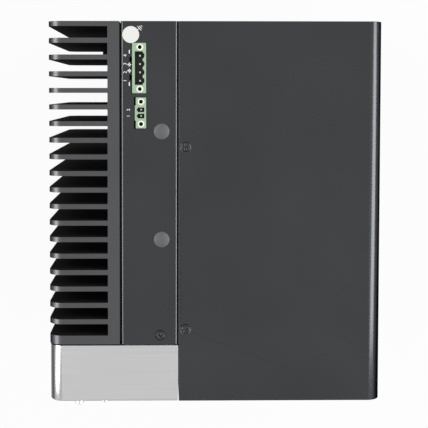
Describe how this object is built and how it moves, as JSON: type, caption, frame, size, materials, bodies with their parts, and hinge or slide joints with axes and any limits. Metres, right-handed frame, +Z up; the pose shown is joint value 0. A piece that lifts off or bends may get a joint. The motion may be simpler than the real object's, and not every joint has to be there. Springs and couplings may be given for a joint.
{
  "type": "fanless industrial pc",
  "caption": "Fanless industrial computer with a finned heat sink, silver front cap, folded steel case, pluggable power and switch terminals, rear connectors and an expansion bay.",
  "frame": {"origin": "centre of the length and of the stacked height, on the flat far side that the unit lies on", "axes": "+X from the fin tips to the base of the cover, +Y from the front cap to the rear connectors, +Z up through the side with the terminals"},
  "size_m": [0.204, 0.2438, 0.1509],
  "materials": {
    "sink_metal": "dark grey anodised, fine matt texture",
    "case_paint": "dark grey powder coat, fine texture",
    "inner_steel": "zinc plated sheet",
    "bezel_metal": "brushed, clear anodised",
    "dark_screw": "black oxide",
    "plain_screw": "plated",
    "terminal_plastic": "light green",
    "plug_plastic": "dark grey",
    "black_plastic": "black",
    "port_shell": "plated shell",
    "pin_metal": "tinned",
    "button_metal": "satin",
    "lens_plastic": "dark smoked",
    "circuit_board": "green solder mask",
    "chip_metal": "plated lid",
    "heat_block": "bare milled",
    "pad_rubber": "soft thermal pad",
    "seal_rubber": "black seal",
    "cell_metal": "coin cell case",
    "drive_metal": "drive case"
  },
  "bodies": {
    "case": {"heat_sink": "sink_metal", "sink_gasket": "seal_rubber", "heat_sink_screws": "plain_screw", "terminal_panel": "case_paint", "far_side_panel": "case_paint", "hole_plugs": "plug_plastic", "main_cover": "case_paint", "cover_screws": "dark_screw", "panel_screws": "dark_screw", "mid_plate": "inner_steel", "bay_front_plate": "case_paint", "bay_rear_plate": "case_paint", "bay_screws": "dark_screw", "slot_blanks": "inner_steel", "blank_screws": "plain_screw", "mount_nuts": "plain_screw", "front_wall": "inner_steel", "front_bezel": "bezel_metal", "bezel_screws": "plain_screw", "button_switches": "black_plastic", "led_lens": "lens_plastic", "status_lamp": "terminal_plastic", "button_board": "circuit_board", "button_board_screws": "plain_screw", "power_terminal": "terminal_plastic", "power_terminal_pins": "pin_metal", "remote_terminal": "terminal_plastic", "remote_terminal_pins": "pin_metal", "rear_io_panel": "case_paint", "lan_jacks": "port_shell", "usb_sockets": "port_shell", "video_socket": "port_shell", "serial_connector": "port_shell", "serial_nuts": "plain_screw", "mainboard": "circuit_board", "board_standoffs": "plain_screw", "board_screws": "plain_screw", "processor": "chip_metal", "processor_pad": "pad_rubber", "processor_heat_block": "heat_block", "chipset": "chip_metal", "chipset_pad": "pad_rubber", "chipset_heat_block": "heat_block", "inductors": "black_plastic", "capacitors": "chip_metal", "battery_holder": "black_plastic", "battery": "cell_metal", "memory_sockets": "black_plastic", "memory_modules": "circuit_board", "riser_socket": "black_plastic", "riser_card": "circuit_board", "expansion_slots": "black_plastic", "drive_bracket": "inner_steel", "drive": "drive_metal", "drive_screws": "plain_screw"},
    "power_button": {"power_button": "button_metal", "power_switch_plunger": "black_plastic"},
    "reset_button": {"reset_button": "button_metal", "reset_switch_plunger": "black_plastic"}
  },
  "joints": [
    {"name": "power_press", "type": "slide", "parent": "case", "child": "power_button", "axis": [0, 1, 0], "range_m": [0, 0.0008], "stiffness_N_per_m": 2000},
    {"name": "reset_press", "type": "slide", "parent": "case", "child": "reset_button", "axis": [0, 1, 0], "range_m": [0, 0.0008], "stiffness_N_per_m": 2000}
  ]
}
